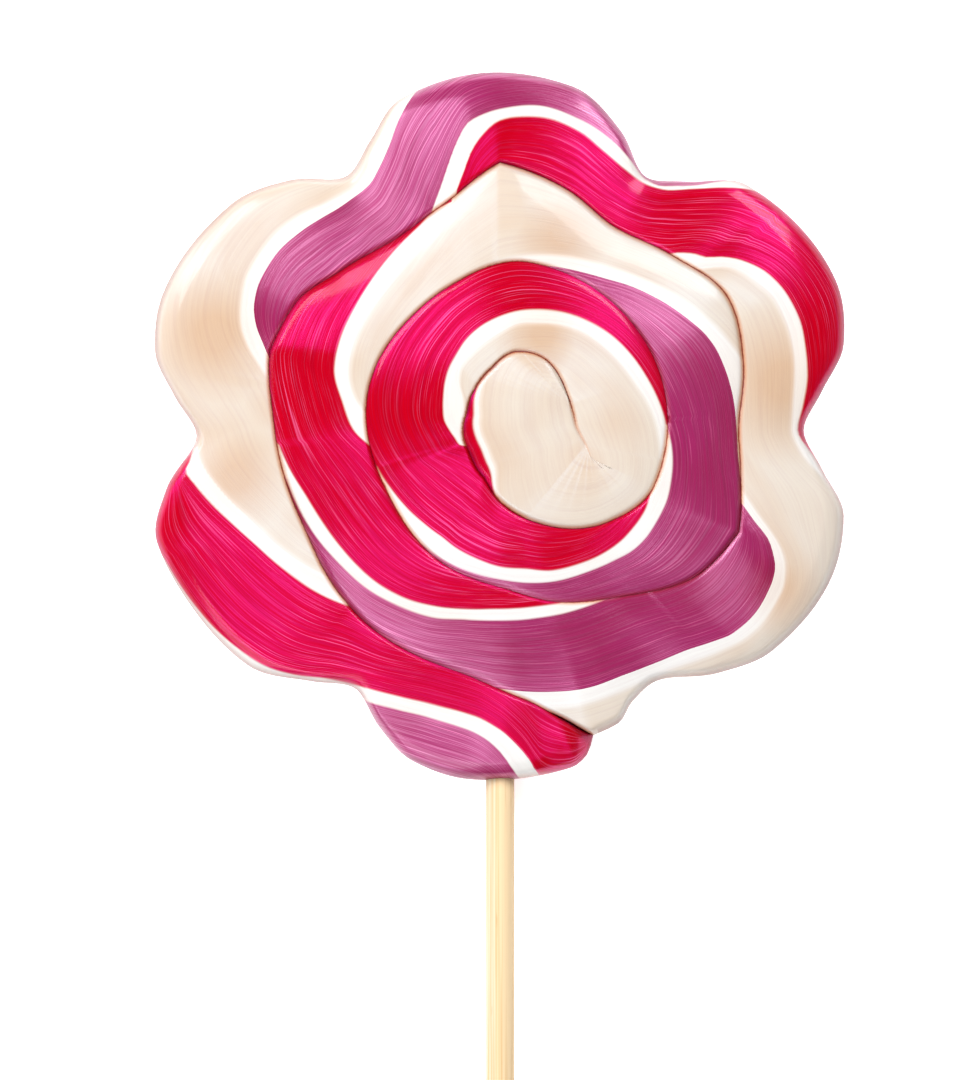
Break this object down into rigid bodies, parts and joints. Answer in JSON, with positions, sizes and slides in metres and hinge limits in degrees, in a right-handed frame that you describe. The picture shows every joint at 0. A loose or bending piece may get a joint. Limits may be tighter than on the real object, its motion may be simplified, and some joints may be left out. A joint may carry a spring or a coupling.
{
  "type": "lollipop",
  "caption": "Flower-shaped hard-candy lollipop wound from one striped rope of pulled sugar, on a thin bamboo stick",
  "frame": {"origin": "middle of the flower, on the flat back of the candy", "axes": "+Z out of the pressed front, the stick runs towards -Y, +X to the right seen from the front"},
  "size_m": [0.0722, 0.186, 0.0102],
  "materials": {
    "candy": "hard candy with a satin, finely streaked surface, in purple, magenta, white and ivory stripes",
    "stick": "pale bamboo with fine lengthwise grain"
  },
  "bodies": {
    "root": {"candy_head": "candy", "stick": "stick"}
  },
  "joints": []
}
